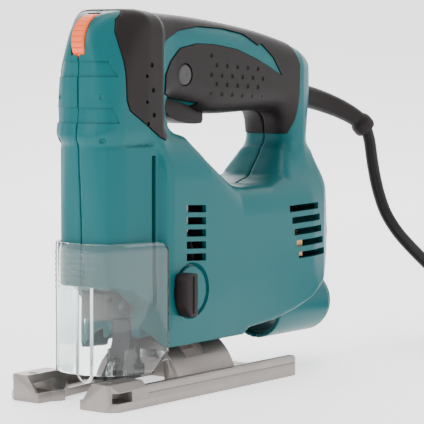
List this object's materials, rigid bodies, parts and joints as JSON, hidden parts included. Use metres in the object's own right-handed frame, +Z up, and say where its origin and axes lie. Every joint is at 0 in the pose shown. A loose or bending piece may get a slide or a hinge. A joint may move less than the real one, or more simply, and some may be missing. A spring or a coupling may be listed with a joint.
{
  "type": "jigsaw power tool",
  "caption": "Corded jigsaw with a D-shaped top handle, tilting cast base, reciprocating blade clamp, guide roller, clear dust cover, speed dial and orbital lever.",
  "frame": {"origin": "where the blade line meets the plane of the sole", "axes": "+X forward along the cut, +Y to the tool's left, +Z up, at right angles to the sole"},
  "size_m": [0.3725, 0.1483, 0.1973],
  "materials": {
    "housing": "satin moulded plastic",
    "rubber": "matt soft-touch",
    "cast": "die cast, brushed sides",
    "steel": "ground",
    "dark_steel": "black oxide",
    "copper": "drawn wire and copper",
    "bronze": "sintered",
    "black_plastic": "matt",
    "dial": "matt",
    "clear": "clear polycarbonate",
    "board": "laminate",
    "cord": "matt sheath",
    "plated": "nickel plate",
    "wire": "bright wire"
  },
  "bodies": {
    "housing": {"housing_left": "housing", "housing_right": "housing", "grip_left": "rubber", "grip_right": "rubber", "gear_case": "cast", "lower_guide": "bronze", "upper_guide": "bronze", "gear_shaft": "steel", "front_bearing": "steel", "rear_bearing": "steel", "stator_core": "dark_steel", "field_coils": "copper", "fan_baffle": "black_plastic", "brush_holders": "bronze", "carbon_brushes": "black_plastic", "brush_springs": "steel", "switch_body": "black_plastic", "speed_board": "board", "housing_screws": "dark_steel", "base_bolt": "dark_steel", "bolt_nut": "steel", "bracket_pin": "steel", "wire_guard": "wire", "dust_nozzle": "housing", "strain_relief": "rubber", "cord_clamp": "black_plastic", "cord_clamp_screws": "steel", "inner_lead": "cord", "cord": "cord", "cord_coil": "cord", "cord_tail": "cord", "cord_tie": "cord", "plug_body": "cord", "plug_pins": "plated"},
    "plunger": {"plunger_rod": "steel", "blade_clamp": "dark_steel", "clamp_screw": "steel"},
    "crank": {"drive_gear": "steel", "crank_pin": "dark_steel", "balance_weight": "dark_steel"},
    "armature": {"armature_shaft": "steel", "armature_core": "dark_steel", "armature_windings": "copper", "commutator": "copper", "fan": "black_plastic"},
    "clamp_plate": {"clamp_plate": "steel"},
    "base": {"base_plate": "cast"},
    "cover": {"dust_cover": "clear"},
    "trigger": {"trigger": "black_plastic"},
    "lock_button": {"lock_button": "black_plastic"},
    "dial": {"speed_dial": "dial"},
    "lever": {"orbital_lever": "black_plastic"},
    "bracket": {"roller_bracket": "black_plastic", "roller_pin": "steel"},
    "roller": {"roller": "steel"}
  },
  "joints": [
    {"name": "plunger_stroke", "type": "slide", "parent": "housing", "child": "plunger", "axis": [0, 0, 1], "range_m": [0, 0.018]},
    {"name": "armature_spin", "type": "hinge", "parent": "housing", "child": "armature", "pos_m": [-0.1, 0, 0.07], "axis": [1, 0, 0], "continuous": true},
    {"name": "crank_spin", "type": "hinge", "parent": "housing", "child": "crank", "pos_m": [-0.02, 0, 0.1], "axis": [1, 0, 0], "continuous": true},
    {"name": "base_slide", "type": "slide", "parent": "housing", "child": "clamp_plate", "axis": [-1, 0, 0], "range_m": [0, 0.01]},
    {"name": "base_bevel", "type": "hinge", "parent": "clamp_plate", "child": "base", "pos_m": [-0.05, 0, 0], "axis": [1, 0, 0], "range_deg": [0, 45]},
    {"name": "cover_lift", "type": "slide", "parent": "housing", "child": "cover", "axis": [0, 0, 1], "range_m": [0, 0.038]},
    {"name": "trigger_press", "type": "slide", "parent": "housing", "child": "trigger", "axis": [0, 0, 1], "range_m": [0, 0.006], "stiffness_N_per_m": 800, "springref_m": -0.003},
    {"name": "lock_press", "type": "slide", "parent": "housing", "child": "lock_button", "axis": [0, -1, 0], "range_m": [0, 0.003], "stiffness_N_per_m": 500, "springref_m": -0.002},
    {"name": "dial_turn", "type": "hinge", "parent": "housing", "child": "dial", "pos_m": [0.008, 0, 0.181], "axis": [0, 1, 0], "range_deg": [0, 240]},
    {"name": "lever_turn", "type": "hinge", "parent": "housing", "child": "lever", "pos_m": [-0.033, 0.03, 0.054], "axis": [0, 1, 0], "range_deg": [0, 90]},
    {"name": "bracket_swing", "type": "hinge", "parent": "housing", "child": "bracket", "pos_m": [-0.016, 0, 0.035], "axis": [0, 1, 0], "range_deg": [-5, 0]},
    {"name": "roller_spin", "type": "hinge", "parent": "bracket", "child": "roller", "pos_m": [-0.008, 0, 0.0145], "axis": [0, 1, 0], "continuous": true}
  ],
  "couplings": [
    {"joint": "crank_spin", "follows": "armature_spin", "ratio": -0.2},
    {"joint": "cover_lift", "follows": "base_bevel", "m_per_rad": 0.048383}
  ]
}
